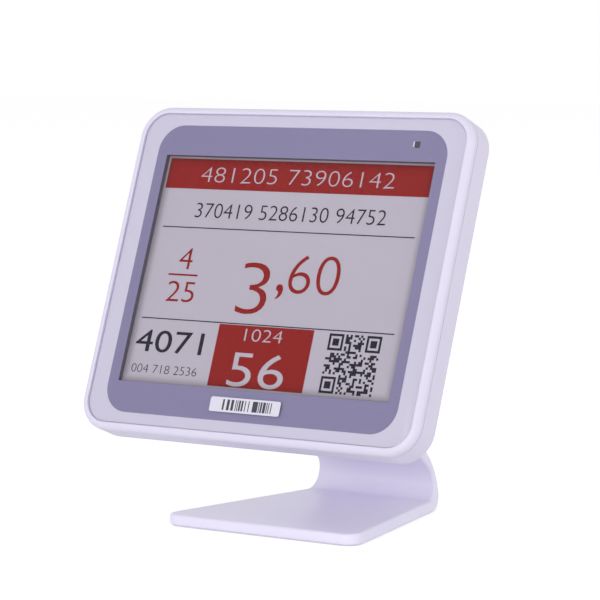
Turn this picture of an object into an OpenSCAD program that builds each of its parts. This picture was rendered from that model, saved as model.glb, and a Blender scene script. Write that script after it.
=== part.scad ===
// Electronic shelf label on its desk stand, in millimetres, Z up.
// The origin is the middle of the grip pad under the foot, X runs to the reader's right and Y to the back.
// The label is drawn lying down: X across, Y up the panel, Z out of the front, zero on the front of the lens.

/* [Case] */
// Width of the pale border at each side of the mask
border_side = 4.95; // [4:0.05:9]
// Height of the pale border above and below the mask
border_top = 3; // [2.5:0.05:8]
// Corner radius of the case
case_r = 8.9; // [8:0.1:12]
// Depth of the case from the rim to the flat of its back
case_depth = 9.35; // [8.6:0.05:10.4]
// Wall of the rear housing
case_wall = 1.5; // [1.2:0.1:2]
// Radius of the edge round the back
back_fillet = 0.6; // [0.4:0.1:1.4]
// Width of the raised rim round the front
rim_w = 2.05; // [1.6:0.05:2.4]
// How far the rim stands proud of the lens
rim_proud = 0.25; // [0.1:0.05:0.6]
// Rounding of the rim's inner edge
rim_fillet = 0.2; // [0.1:0.05:0.4]
// Depth of the rim down to the parting line
rim_depth = 2.35; // [2.2:0.05:2.6]
// Width of the parting line
seam_gap = 0.15; // [0.05:0.05:0.3]
// Thickness of the housing's lip outside the frame's skirt
lip_t = 0.7; // [0.5:0.05:0.8]
// How far that skirt reaches into the housing behind the parting line
skirt_run = 0.9; // [0.6:0.05:1.4]
// Width of the ledge that the lens is stuck to
ledge_w = 2.6; // [1.8:0.1:3.4]
// Thickness of that ledge
ledge_t = 1.5; // [1:0.1:1.8]
// Width of the shelf inside the housing that carries the display tray
shelf_w = 1.1; // [0.8:0.1:2]

/* [Lens] */
// Thickness of the clear lens
lens_t = 0.5; // [0.4:0.05:1]
// Gap round the lens
lens_gap = 0.3; // [0.2:0.05:0.5]
// Thickness of the printed layers on the back of the lens
print_t = 0.1; // [0.08:0.01:0.15]
// How far the dark mask laps past the display glass at each side
mask_side = 0.6; // [0.4:0.05:3]
// How far the dark mask laps past the display glass at the bottom
mask_low = 0.25; // [0.2:0.05:3]
// Corner radius of the dark mask
mask_r = 7.5; // [6:0.5:11]
// Margin of the mask's window round the active display
window_margin = 0.6; // [0.3:0.1:1]
// Side of the small square window over the status light
led_window = 1.45; // [1.2:0.05:1.8]
// Distance of the status window from the right edge of the mask
led_side = 9.6; // [6:0.1:16]
// Thickness of the tape under the lens
tape_t = 0.2; // [0.1:0.05:0.3]
// Width of the barcode sticker
sticker_w = 22.2; // [16:0.1:30]
// Height of the barcode sticker
sticker_h = 4.0; // [3:0.1:5]
// Thickness of the barcode sticker
sticker_t = 0.1; // [0.08:0.01:0.2]

/* [Display] */
// Width of the active display
active_w = 84.8; // [80:0.1:86]
// Height of the active display
active_h = 63.6; // [60:0.1:65]
// Border of the display film round its active part
film_border = 1.6; // [1:0.1:2]
// Thickness of the display film
film_t = 0.4; // [0.3:0.05:0.6]
// Border of the glass at its sides and top, outside the film
glass_border = 1.6; // [1:0.1:2]
// Depth of the glass ledge below the film, which carries the driver
glass_ledge = 7.4; // [6:0.1:9]
// Thickness of the display glass
glass_t = 0.7; // [0.5:0.05:0.8]
// Thickness of the dark foam gasket between lens and display
gasket_t = 1.4; // [1:0.1:1.8]
// Width of the driver on the glass ledge
driver_w = 20; // [12:0.5:30]
// Height of the driver on the glass ledge
driver_h = 1.6; // [1:0.1:2]
// Thickness of the driver on the glass ledge
driver_t = 0.3; // [0.2:0.05:0.5]
// Width of the display flex
flex_w = 16; // [10:0.5:24]
// Thickness of the display flex
flex_t = 0.15; // [0.1:0.01:0.2]
// Length of the flex stuck to the glass ledge
flex_bond = 2; // [1.5:0.1:3]
// Clearance round the glass in the tray and the frame
glass_fit = 0.25; // [0.15:0.05:0.4]
// Free depth that the flex has behind the tray, besides its own thickness
flex_clear = 0.35; // [0.2:0.05:0.5]
// Thickness of the display tray
tray_t = 0.8; // [0.7:0.1:1.2]

/* [Board] */
// Gap between the circuit board and the housing at each side
board_side = 6.9; // [2:0.05:9]
// Gap between the circuit board and the housing at the top
board_top = 5.3; // [2:0.05:9]
// Thickness of the circuit board
board_t = 0.8; // [0.6:0.1:1]
// Gap between the display tray and the circuit board
board_gap = 0.7; // [0.6:0.05:0.9]
// Diameter of the screws that hold the board
screw_d = 1.6; // [1.4:0.1:2]
// Diameter of the screw heads
screw_head_d = 3; // [2.6:0.1:3.4]
// Height of the screw heads
screw_head_h = 0.5; // [0.4:0.05:0.55]
// Length of the screws under the head
screw_l = 3; // [2.4:0.1:3.2]
// Inset of the screws from the board's edges
screw_inset = 4; // [3:0.5:5]
// Outer diameter of the bosses under the screws
boss_d = 4.2; // [3.6:0.1:5]
// Side of the radio chip
radio_side = 7; // [5:0.5:9]
// Thickness of the radio chip
radio_t = 0.9; // [0.6:0.1:1.2]
// Distance of the radio chip from the board's middle
radio_x = 20; // [12:0.5:26]
// Width of the memory chip
memory_w = 5; // [4:0.5:6]
// Depth of the memory chip
memory_d = 4; // [3:0.5:5]
// Thickness of the memory chip
memory_t = 1.5; // [0.9:0.1:1.7]
// Distance of the memory chip from the board's middle
memory_x = 6; // [4:0.5:9]
// Side of the converter's coil
coil_side = 4; // [3:0.5:5]
// Height of the converter's coil
coil_t = 1.5; // [1:0.1:1.8]
// Distance of the coil from the board's middle
coil_x = 14; // [8:0.5:18]
// Number of capacitors beside the coil
cap_count = 3; // [1:1:4]
// Width of a capacitor
cap_w = 3.2; // [1.6:0.1:3.4]
// Depth of a capacitor
cap_d = 1.6; // [0.8:0.1:2]
// Height of a capacitor
cap_t = 1.3; // [0.5:0.1:1.6]
// Spacing of the capacitors
cap_step = 4.5; // [3.6:0.1:5]
// Margin of the flex socket past the flex on each side
socket_side = 1.5; // [1:0.1:2.5]
// Depth of the flex socket up the board
socket_d = 4.5; // [3.5:0.1:5.5]
// Height of the flex socket
socket_t = 1; // [0.8:0.05:1.2]
// Inset of the socket and the antenna from the board's edges
socket_inset = 0.8; // [0.4:0.1:1.5]
// Width of the metal antenna
antenna_w = 24; // [16:0.5:30]
// Depth of the metal antenna
antenna_d = 6; // [4:0.5:8]
// Thickness of the antenna's metal
antenna_t = 0.3; // [0.2:0.05:0.5]
// Rise of the antenna from the board
antenna_rise = 1.4; // [1:0.1:1.6]
// Width of the status light
light_w = 1.6; // [1.2:0.1:2]
// Depth of the status light
light_d = 0.8; // [0.6:0.1:1.2]
// Height of the status light
light_t = 0.5; // [0.3:0.05:0.6]

/* [Batteries] */
// Number of coin cells side by side
cell_count = 3; // [2:1:3]
// Diameter of a coin cell
cell_d = 24.5; // [20:0.1:24.6]
// Thickness of a coin cell
cell_t = 5; // [3.2:0.1:5.2]
// Space between neighbouring cells
cell_gap = 1.3; // [1:0.1:1.6]
// Clearance round a cell in its seat
cell_clear = 0.3; // [0.2:0.05:0.5]
// Thickness of the contact strips
strip_t = 0.2; // [0.15:0.05:0.25]
// Width of the contact strips
strip_w = 4; // [3:0.5:6]
// Thickness of the wall between the cells and the display
ceiling_t = 0.6; // [0.5:0.05:0.9]
// Thickness of the battery door
door_t = 1.2; // [1.1:0.1:1.6]
// Clearance round the battery door
door_fit = 0.2; // [0.15:0.05:0.3]
// How far the door laps past the cell bay
door_lap = 1.5; // [1:0.1:2]
// Length of the tongues on the door's sides
tongue_l = 19; // [14:0.5:20]
// Thickness of those tongues
tongue_t = 0.55; // [0.4:0.05:0.6]
// How far those tongues stand out
tongue_out = 1.2; // [0.8:0.1:1.5]
// Number of grip ribs on the door
rib_count = 4; // [2:1:6]
// Radius of the grip ribs
rib_r = 0.4; // [0.3:0.05:0.5]

/* [Back platform and rails] */
// Wall of the raised platform on the back
platform_wall = 1.5; // [1.2:0.1:1.8]
// Height of the platform's lower end above the bottom of the case
platform_inset = 3.3; // [2.4:0.1:4]
// Corner radius of the platform
platform_r = 5; // [3:0.5:8]
// Rounding of the platform's edge
platform_fillet = 1.2; // [0.6:0.1:1.6]
// Clearance between the stand's plate and the rails
rail_clear = 0.25; // [0.15:0.05:0.4]
// Thickness of the rails' webs
rail_t = 1.8; // [1.4:0.1:2.4]
// How far the rails' lips hook over the plate
rail_lip = 2.2; // [1.6:0.1:3]
// Length of the tapered mouth at the rails' lower ends
rail_mouth = 2.4; // [1:0.1:4]
// Thickness of the rails' lips
rail_lip_t = 1.3; // [1:0.1:1.8]
// Thickness of the stop above the plate
stop_t = 2; // [1.5:0.1:3]

/* [Stand] */
// Thickness of the stand's sheet
sheet_t = 3.2; // [2.6:0.1:3.6]
// Width of the foot at its front edge
foot_front_w = 62.4; // [50:0.1:74]
// Width of the foot where it turns up
foot_rear_w = 40; // [37.8:0.1:48]
// Length of the flat foot
foot_l = 59.6; // [52:0.1:70]
// Distance from the origin to the foot's front edge
foot_front = 29; // [26:0.1:34]
// Corner radius of the foot and of the plate
corner_r = 5; // [3:0.5:8]
// Width of the neck and of the plate behind the label
neck_w = 37.6; // [32:0.1:37.6]
// Rounding of the sheet's edges
edge_r = 0.9; // [0.4:0.1:1.2]
// Middle radius of the tight bend at the back of the foot
heel_r = 3.1; // [2.4:0.1:5]
// Middle radius of the bend where the neck leans forward
lean_r = 12.6; // [9:0.1:16]
// Angle of the neck from the desk, measured from the back
neck_angle = 139; // [130:1:142]
// Middle radius of the bend up to the label
crook_r = 12; // [9:0.5:14]
// Length of the straight plate that carries the label
plate_l = 27; // [22:0.5:30]

/* [Grip pad] */
// Width of the grip pad under the foot
pad_w = 38; // [30:0.5:39]
// Length of the grip pad
pad_l = 50; // [40:0.5:51]
// Corner radius of the grip pad
pad_r = 4; // [2:0.5:6]
// Thickness of the grip pad
pad_t = 0.8; // [0.6:0.1:1]
// How far the pad stands out of the foot
pad_proud = 0.2; // [0.1:0.05:0.4]

/* [Pose of the label] */
// Lean of the label back from upright
tilt = 21; // [15:0.5:26]
// Height of the display's centre above the desk
label_z = 69.85; // [66:0.1:76]
// Distance of the display's centre in front of the origin
label_front = 21.4; // [16:0.1:24]

/* [Hidden] */
$fn = 64;
// One overrun for every cut
over = 1;
// How far up the strip between glass and mask edge the status window lies
led_share = 0.32;
// How much of the rim, outside its inner edge, is taken by the outer rounding
rim_share = 0.95;
// The least thickness of a rounded tip, so that no ring of the sheet closes to a line
tip_least = 0.06;

// Depths through the label, from the front of the lens backwards
rim_z = rim_proud;
rim_round = (rim_w - rim_fillet) * rim_share;
seam_z = rim_z - rim_depth;
skirt_z = seam_z - skirt_run;
print_z = -lens_t;
print_back_z = print_z - print_t;
ledge_z = print_back_z - tape_t;
ledge_back_z = ledge_z - ledge_t;
film_z = print_back_z - gasket_t;
glass_z = film_z - film_t;
tray_pocket_z = glass_z - glass_t;
tray_back_z = tray_pocket_z - tray_t;
flex_gap = flex_t + flex_clear;
ceiling_z = tray_back_z - flex_gap;
bay_z = ceiling_z - ceiling_t;
cell_z = bay_z - strip_t - flex_t;
cell_back_z = cell_z - cell_t;
door_z = cell_back_z - door_fit;
platform_z = door_z - door_t;
back_z = rim_z - case_depth;
board_z = tray_back_z - board_gap;
board_back_z = board_z - board_t;

// Outlines across the label, from the active display outwards
window_w = active_w + 2 * window_margin;
window_h = active_h + 2 * window_margin;
film_w = active_w + 2 * film_border;
film_h = active_h + 2 * film_border;
glass_w = film_w + 2 * glass_border;
glass_top = film_h / 2 + glass_border;
glass_low = -film_h / 2 - glass_ledge;
glass_h = glass_top - glass_low;
glass_y = (glass_top + glass_low) / 2;
mask_w = glass_w + 2 * mask_side;
mask_h = 2 * (mask_low - glass_low);
lens_w = mask_w + 2 * border_side;
lens_h = mask_h + 2 * border_top;
lens_r = case_r - rim_w - lens_gap;
case_w = lens_w + 2 * (lens_gap + rim_w);
case_h = lens_h + 2 * (lens_gap + rim_w);
led_x = mask_w / 2 - led_side;
led_y = glass_top + (mask_h / 2 - glass_top) * led_share;
sticker_y = -(window_h / 2 + mask_h / 2) / 2;

// The cell bay and its door
pitch = cell_d + cell_gap;
seat_r = cell_d / 2 + cell_clear;
bay_w = (cell_count - 1) * pitch + 2 * seat_r;
cell_places = [for (i = [0 : cell_count - 1]) (i - (cell_count - 1) / 2) * pitch];
cell_mid_z = cell_back_z + cell_t / 2;
tail_z = board_back_z - strip_t;
platform_low = -case_h / 2 + platform_inset;
bay_y = platform_low + platform_wall + seat_r;
strip_y = bay_y + seat_r + strip_t;
door_w = bay_w + 2 * door_lap;
door_top = bay_y + seat_r + door_lap;
tongue_top = door_top - platform_wall;
tongue_low = tongue_top - tongue_l;
bay_block_w = door_w + 2 * (tongue_out + case_wall);
bay_block_low = platform_low + platform_fillet;

// The path of the stand's sheet in the YZ plane, as places and headings
mid_z = pad_proud + sheet_t / 2;
foot_back_y = foot_l - foot_front;
heel = [foot_back_y + heel_r, mid_z + heel_r];
lean = heel + lean_r * [sin(neck_angle) - 1, -cos(neck_angle)];
plate_heading = 90 - tilt;
crook_shift = crook_r * [sin(neck_angle) - sin(plate_heading), cos(plate_heading) - cos(neck_angle)];
plate_mid_z = platform_z - rail_clear - sheet_t / 2;
// Depth and height of a place in the YZ plane, in the label's own frame
function label_depth(p) = -(p[0] + label_front) * cos(tilt) + (p[1] - label_z) * sin(tilt);
function label_up(p) = (p[0] + label_front) * sin(tilt) + (p[1] - label_z) * cos(tilt);
neck_run = (plate_mid_z - label_depth(lean + crook_shift)) / -cos(neck_angle + tilt);
crook = lean + neck_run * [cos(neck_angle), sin(neck_angle)];
plate_foot = crook + crook_shift;
plate_low = label_up(plate_foot);
plate_top = plate_low + plate_l;

// The rails and the platform that carries them
rail_in = neck_w / 2 + rail_clear;
rail_out = rail_in + rail_t;
rail_low = max(plate_low + rail_clear, door_top + 2 * rail_clear);
rail_top = plate_top + rail_clear + stop_t;
rail_z = platform_z - 2 * rail_clear - sheet_t - rail_lip_t;
platform_high = rail_top + platform_wall;
platform_h = platform_high - platform_low;
platform_y = (platform_high + platform_low) / 2;

// The circuit board and what it carries
board_low = door_top + platform_wall;
board_w = case_w - 2 * (case_wall + shelf_w + board_side);
board_h = case_h / 2 - case_wall - shelf_w - board_top - board_low;
board_y = board_low + board_h / 2;
screw_x = board_w / 2 - screw_inset;
platform_w = max(bay_block_w + platform_wall, 2 * screw_x + boss_d);
screw_high_y = board_low + board_h - screw_inset;
screw_low_y = board_low + screw_inset;
socket_y = board_low + socket_d / 2 + socket_inset;
antenna_x = -board_w / 2 + screw_inset + boss_d + antenna_w / 2;
antenna_y = board_low + board_h - antenna_d / 2 - socket_inset;

// The corners of a rounded rectangle, as signs and the turn of each
quarters = [[1, 1, 0], [-1, 1, 90], [-1, -1, 180], [1, -1, 270]];
// Steps of the sheet's rings: round its ends, round its edges, and in degrees round its bends
end_steps = 8;
corner_steps = 4;
bend_step = 9;

// Rounded rectangle about the origin
module rounded_rect(w, h, r) {
    square([w - 2 * r, h], center = true);
    square([w, h - 2 * r], center = true);
    for (q = quarters)
        translate([q[0] * (w / 2 - r), q[1] * (h / 2 - r)])
            circle(r);
}

// Rounded plate from one depth to another
module plate(w, h, r, z_low, z_high) {
    translate([0, 0, z_low])
        linear_extrude(z_high - z_low)
            rounded_rect(w, h, r);
}

// Box with its middle at a place and its low face at a depth
module block(at, size, z_low) {
    translate([at[0] - size[0] / 2, at[1] - size[1] / 2, z_low])
        cube(size);
}

// Sweeps a section round a rounded rectangle: x is measured from the corner's centre, y is the depth
module around(w, h, r) {
    cx = w / 2 - r;
    cy = h / 2 - r;
    for (q = quarters)
        translate([q[0] * cx, q[1] * cy, 0])
            rotate([0, 0, q[2]])
                rotate_extrude(angle = 90)
                    children();
    for (a = [0, 180])
        rotate([0, 0, a])
            translate([cx, cy, 0])
                rotate([90, 0, 0])
                    linear_extrude(2 * cy)
                        children();
    for (a = [90, 270])
        rotate([0, 0, a])
            translate([cy, cx, 0])
                rotate([90, 0, 0])
                    linear_extrude(2 * cx)
                        children();
}

// Rectangle between two corners
module span(low, high) {
    translate(low)
        square(high - low);
}

// Carries what is drawn in the label's frame to its place on the stand
module on_label() {
    translate([0, -label_front, label_z])
        rotate([90 - tilt, 0, 0])
            children();
}

// Space that the glass passes through, with its clearance
module glass_space(z_low, depth) {
    block([0, glass_y], [glass_w + 2 * glass_fit, glass_h + 2 * glass_fit, depth], z_low);
}

// Section of the front frame: rounded rim, ledge under the lens, thin skirt inside the housing's lip
module frame_section() {
    in = case_r - rim_w;
    skirt_out = case_r - lip_t - seam_gap;
    round_x = case_r - rim_round;
    span([in, ledge_z], [round_x, rim_z - rim_fillet]);
    span([in + rim_fillet, ledge_z], [round_x, rim_z]);
    translate([in + rim_fillet, rim_z - rim_fillet])
        circle(rim_fillet);
    intersection() {
        translate([round_x, rim_z - rim_round])
            circle(rim_round);
        span([round_x, rim_z - rim_round], [case_r, rim_z]);
    }
    span([case_r - case_wall, seam_z], [case_r, rim_z - rim_round]);
    span([in - ledge_w, ledge_back_z], [skirt_out, ledge_z]);
    span([case_r - case_wall, skirt_z], [skirt_out, seam_z]);
}

module front_frame() {
    color("#dcd6e8")
        on_label()
            difference() {
                around(case_w, case_h, case_r)
                    frame_section();
                glass_space(ledge_back_z - over, ledge_t + over);
            }
}

// Section of the rear housing: lip, wall, shelf for the tray, rounded edge and the rim of the back
module housing_section() {
    shelf_in = case_r - case_wall - shelf_w;
    lip_low = skirt_z - seam_gap;
    span([case_r - lip_t, lip_low], [case_r, seam_z - seam_gap]);
    span([case_r - case_wall, back_z + back_fillet], [case_r, lip_low]);
    span([shelf_in, back_z + back_fillet], [case_r, tray_back_z]);
    span([shelf_in, back_z], [case_r - back_fillet, back_z + back_fillet]);
    intersection() {
        translate([case_r - back_fillet, back_z + back_fillet])
            circle(back_fillet);
        span([case_r - back_fillet, back_z], [case_r, back_z + back_fillet]);
    }
}

// Section of the platform's edge, rounded at the back
module platform_section() {
    span([0, platform_z], [platform_r - platform_fillet, back_z + case_wall]);
    span([0, platform_z + platform_fillet], [platform_r, back_z + case_wall]);
    translate([platform_r - platform_fillet, platform_z + platform_fillet])
        circle(platform_fillet);
}

module platform() {
    translate([0, platform_y, 0])
        around(platform_w, platform_h, platform_r)
            platform_section();
    block([0, platform_y], [platform_w - 2 * platform_r, platform_h - 2 * platform_r,
        back_z + case_wall - platform_z], platform_z);
}

module platform_hollow() {
    translate([0, platform_y, 0])
        plate(platform_w - 2 * platform_wall, platform_h - 2 * platform_wall, platform_r - platform_wall,
            platform_z + platform_wall, back_z + case_wall + over);
}

// The two hooked rails and the stop that the stand's plate slides up to
module rails() {
    for (s = [-1, 1]) {
        block([s * (rail_in + rail_t / 2), (rail_low + rail_top) / 2],
            [rail_t, rail_top - rail_low, platform_z - rail_z], rail_z);
        block([s * (rail_out - (rail_t + rail_lip) / 2), (rail_low + rail_top) / 2],
            [rail_t + rail_lip, rail_top - rail_low, rail_lip_t], rail_z);
    }
    block([0, rail_top - stop_t / 2], [2 * rail_out, stop_t, platform_z - rail_z], rail_z);
}

// Tapers at the lower ends of the rails, which lead the plate in
module rail_mouths() {
    flare = rail_in + rail_t / 2;
    for (s = [0, 1])
        mirror([s, 0, 0])
            translate([0, 0, rail_z + rail_lip_t])
                linear_extrude(platform_z - rail_z - rail_lip_t)
                    polygon([[rail_in - over, rail_low - over], [flare, rail_low - over], [flare, rail_low],
                        [rail_in, rail_low + rail_mouth], [rail_in - over, rail_low + rail_mouth]]);
}

// Seats of the cells, scalloped, with a straight channel through their middles
module cell_seats() {
    for (x = cell_places)
        translate([x, bay_y, door_z - over])
            cylinder(r = seat_r, h = bay_z - door_z + over);
    block([0, bay_y], [bay_w - 2 * seat_r, seat_r, bay_z - door_z + over], door_z - over);
}

// Space that the door slides in, with its side grooves and the wider mouth below them
module door_space() {
    low = platform_low - over;
    groove_z = door_z - tongue_t - door_fit;
    groove_top = tongue_top + door_fit;
    wide = door_w + 2 * (tongue_out + door_fit);
    translate([-door_w / 2 - door_fit, low, platform_z - over])
        cube([door_w + 2 * door_fit, door_top + door_fit - low, door_t + door_fit + over]);
    translate([-wide / 2, low, groove_z])
        cube([wide, groove_top - low, door_z + door_fit - groove_z]);
    translate([-wide / 2, low, platform_z - over])
        cube([wide, tongue_low - door_fit - low, door_t + door_fit + over]);
}

// Slots for the contact strips down the top of each seat, and their way out behind the board
module strip_slots() {
    slot_w = strip_w + 2 * door_fit;
    for (x = cell_places, side = [-1, 1])
        translate([x + side * strip_w - slot_w / 2, 0, 0]) {
            translate([0, bay_y + seat_r / 2, cell_mid_z - door_fit])
                cube([slot_w, strip_y + strip_t - bay_y - seat_r / 2, bay_z - cell_mid_z + door_fit]);
            translate([0, strip_y, tail_z - door_fit])
                cube([slot_w, board_low - strip_y + over, strip_t + 2 * door_fit]);
        }
}

module bosses() {
    for (s = [-1, 1]) {
        translate([s * screw_x, screw_high_y, back_z + case_wall / 2])
            cylinder(d = boss_d, h = board_back_z - back_z - case_wall / 2);
        translate([s * screw_x, screw_low_y, platform_z + platform_wall / 2])
            cylinder(d = boss_d, h = board_back_z - platform_z - platform_wall / 2);
    }
}

module screw_places() {
    for (s = [-1, 1])
        for (y = [screw_low_y, screw_high_y])
            translate([s * screw_x, y, 0])
                children();
}

module rear_housing() {
    color("#dcd6e8")
        on_label()
            difference() {
                union() {
                    difference() {
                        union() {
                            around(case_w, case_h, case_r)
                                housing_section();
                            plate(case_w - 2 * case_wall, case_h - 2 * case_wall, case_r - case_wall,
                                back_z, back_z + case_wall);
                            platform();
                        }
                        platform_hollow();
                    }
                    translate([-bay_block_w / 2, bay_block_low, platform_z + platform_fillet])
                        cube([bay_block_w, door_top + door_lap - bay_block_low,
                            ceiling_z - platform_z - platform_fillet]);
                    rails();
                    bosses();
                }
                rail_mouths();
                cell_seats();
                door_space();
                strip_slots();
                screw_places()
                    translate([0, 0, board_z - screw_l - seam_gap])
                        cylinder(d = screw_d, h = screw_l);
            }
}

module front_lens() {
    color("#f4f4f8", 0.3)
        on_label()
            plate(lens_w, lens_h, lens_r, -lens_t, 0);
}

// Pale printed border round the mask
module border_print() {
    color("#d6d1e2")
        on_label()
            difference() {
                plate(lens_w, lens_h, lens_r, print_back_z, print_z);
                plate(mask_w, mask_h, mask_r, print_back_z - over, print_z + over);
            }
}

// Dark printed mask with the display's window and the status window
module mask_print() {
    color("#8e87a9")
        on_label()
            difference() {
                plate(mask_w, mask_h, mask_r, print_back_z, print_z);
                block([0, 0], [window_w, window_h, print_t + 2 * over], print_back_z - over);
                block([led_x, led_y], [led_window, led_window, print_t + 2 * over], print_back_z - over);
            }
}

module lens_tape() {
    color("#b9b9bd")
        on_label()
            difference() {
                plate(lens_w, lens_h, lens_r, ledge_z, print_back_z);
                plate(lens_w - 2 * (ledge_w - lens_gap), lens_h - 2 * (ledge_w - lens_gap),
                    lens_r - ledge_w + lens_gap, ledge_z - over, print_back_z + over);
                glass_space(ledge_z - over, tape_t + 2 * over);
            }
}

module display_gasket() {
    color("#3a383e")
        on_label()
            difference() {
                block([0, 0], [film_w, film_h, gasket_t], film_z);
                block([0, 0], [window_w, window_h, gasket_t + 2 * over], film_z - over);
            }
}

module display_film() {
    color("#b8b0be")
        on_label()
            block([0, 0], [film_w, film_h, film_t], glass_z);
}

module display_glass() {
    color("#6f8f8a", 0.7)
        on_label()
            block([0, glass_y], [glass_w, glass_h, glass_t], tray_pocket_z);
}

driver_y = -film_h / 2 - glass_ledge / 3;
module display_driver() {
    color("#26262b")
        on_label()
            block([0, driver_y], [driver_w, driver_h, driver_t], glass_z);
}

// Middle depth of the flex behind the tray, and the radius of its fold round the glass edge
flex_low_z = tray_back_z - flex_gap / 2;
fold_r = (glass_z + flex_t / 2 - flex_low_z) / 2;
fold_y = glass_low;
flex_end_y = socket_y - socket_d / 4;
// Side view of the flex: bonded on the glass, folded round its edge, flat behind the tray
module flex_side() {
    span([fold_y, glass_z], [fold_y + flex_bond, glass_z + flex_t]);
    span([fold_y, flex_low_z - flex_t / 2], [flex_end_y, flex_low_z + flex_t / 2]);
    translate([fold_y, glass_z + flex_t / 2 - fold_r])
        intersection() {
            difference() {
                circle(fold_r + flex_t / 2);
                circle(fold_r - flex_t / 2);
            }
            span([-fold_r - over, -fold_r - over], [0, fold_r + over]);
        }
}

module display_flex() {
    color("#c47a2c")
        on_label()
            translate([-flex_w / 2, 0, 0])
                rotate([90, 0, 90])
                    linear_extrude(flex_w)
                        flex_side();
}

tray_w = case_w - 2 * case_wall - 2 * seam_gap;
tray_h = case_h - 2 * case_wall - 2 * seam_gap;
tray_r = case_r - case_wall - seam_gap;
module display_tray() {
    notch_w = flex_w + 2 * case_wall;
    socket_hole_w = flex_w + 2 * (socket_side + glass_fit);
    led_hole = led_window + 2 * seam_gap;
    tray_depth = ledge_back_z - tray_back_z;
    color("#c9c9cf")
        on_label()
            difference() {
                plate(tray_w, tray_h, tray_r, tray_back_z, ledge_back_z);
                glass_space(tray_pocket_z, ledge_back_z - tray_pocket_z + over);
                translate([-notch_w / 2, -tray_h / 2 - over, tray_back_z - over])
                    cube([notch_w, glass_low + tray_h / 2 + over + glass_fit, tray_depth + 2 * over]);
                block([0, socket_y], [socket_hole_w, socket_d + 2 * glass_fit, tray_t + 2 * over],
                    tray_back_z - over);
                block([led_x, led_y], [led_hole, led_hole, tray_depth + 2 * over], tray_back_z - over);
            }
}

module circuit_board() {
    color("#2f6b4f")
        on_label()
            difference() {
                translate([0, board_y, 0])
                    plate(board_w, board_h, boss_d / 2, board_back_z, board_z);
                screw_places()
                    translate([0, 0, board_back_z - over])
                        cylinder(d = screw_d + 2 * seam_gap, h = board_t + 2 * over);
            }
}

module radio_chip() {
    color("#26262b")
        on_label()
            block([-radio_x, board_y], [radio_side, radio_side, radio_t], board_back_z - radio_t);
}

module memory_chip() {
    color("#26262b")
        on_label()
            block([-memory_x, board_y], [memory_w, memory_d, memory_t], board_back_z - memory_t);
}

// The coil of the voltage converter and a row of capacitors
module power_parts() {
    color("#4a4642")
        on_label() {
            block([coil_x, board_y], [coil_side, coil_side, coil_t], board_back_z - coil_t);
            for (i = [1 : cap_count])
                block([coil_x + coil_side / 2 + i * cap_step, board_y],
                    [cap_w, cap_d, cap_t], board_back_z - cap_t);
        }
}

module flex_connector() {
    mouth_h = 2 * flex_t;
    color("#e8e4d8")
        on_label()
            difference() {
                block([0, socket_y], [flex_w + 2 * socket_side, socket_d, socket_t], board_z);
                translate([-flex_w / 2 - flex_t, socket_y - socket_d, flex_low_z - mouth_h / 2])
                    cube([flex_w + 2 * flex_t, flex_end_y - socket_y + socket_d + flex_t, mouth_h]);
            }
}

// Bent metal antenna on two legs
module antenna() {
    color("#c9b27a")
        on_label() {
            block([antenna_x, antenna_y], [antenna_w, antenna_d, antenna_t], board_back_z - antenna_rise);
            for (x = [0, antenna_w / 4])
                block([antenna_x - (antenna_w - antenna_t) / 2 + x, antenna_y],
                    [antenna_t, antenna_d / 3, antenna_rise], board_back_z - antenna_rise);
        }
}

module status_light() {
    color("#f3f3f0")
        on_label()
            block([led_x, led_y], [light_w, light_d, light_t], board_z);
}

// Smoked guide from the status light up to the lens, with a flange behind the tray
module light_guide() {
    flange = led_window + 4 * seam_gap;
    guide_z = board_z + light_t;
    color("#55525c")
        on_label() {
            block([led_x, led_y], [led_window, led_window, print_back_z - guide_z], guide_z);
            block([led_x, led_y], [flange, flange, tray_back_z - guide_z], guide_z);
        }
}

module board_screws() {
    color("#9a9aa0")
        on_label()
            screw_places() {
                translate([0, 0, board_z])
                    cylinder(d = screw_head_d, h = screw_head_h);
                translate([0, 0, board_z - screw_l])
                    cylinder(d = screw_d - seam_gap, h = screw_l);
            }
}

// Section of a coin cell: wide can, crimped shoulder and the smaller cap that faces the display
cap_share = 0.86;
shoulder_share = 0.12;
module cell_section() {
    r = cell_d / 2;
    shoulder = cell_t * shoulder_share;
    rim = cell_t - shoulder;
    polygon([[0, 0], [r - shoulder, 0], [r, shoulder], [r, rim - shoulder], [r - shoulder, rim],
        [r * cap_share, rim], [r * cap_share, cell_t], [0, cell_t]]);
}

module coin_cells() {
    color("#c8c8cc")
        on_label()
            for (x = cell_places)
                translate([x, bay_y, cell_back_z])
                    rotate_extrude()
                        cell_section();
}

// A contact strip stands in its slot and turns out over the back of the board
module strip(x, z_low, z_high) {
    reach = board_low + platform_wall;
    translate([x - strip_w / 2, strip_y, z_low])
        cube([strip_w, strip_t, z_high - z_low]);
    translate([x - strip_w / 2, strip_y, tail_z])
        cube([strip_w, reach - strip_y, strip_t]);
}

module positive_contacts() {
    color("#b9b6a8")
        on_label()
            for (x = cell_places)
                strip(x - strip_w, cell_mid_z, tail_z + strip_t);
}

// The negative strips carry a leaf along the ceiling, over the cap of the cell
module negative_contacts() {
    color("#a9a79c")
        on_label()
            for (x = cell_places) {
                strip(x + strip_w, tail_z, bay_z);
                translate([x + strip_w / 2, bay_y, bay_z - strip_t])
                    cube([strip_w, strip_y - bay_y + strip_t, strip_t]);
            }
}

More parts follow.
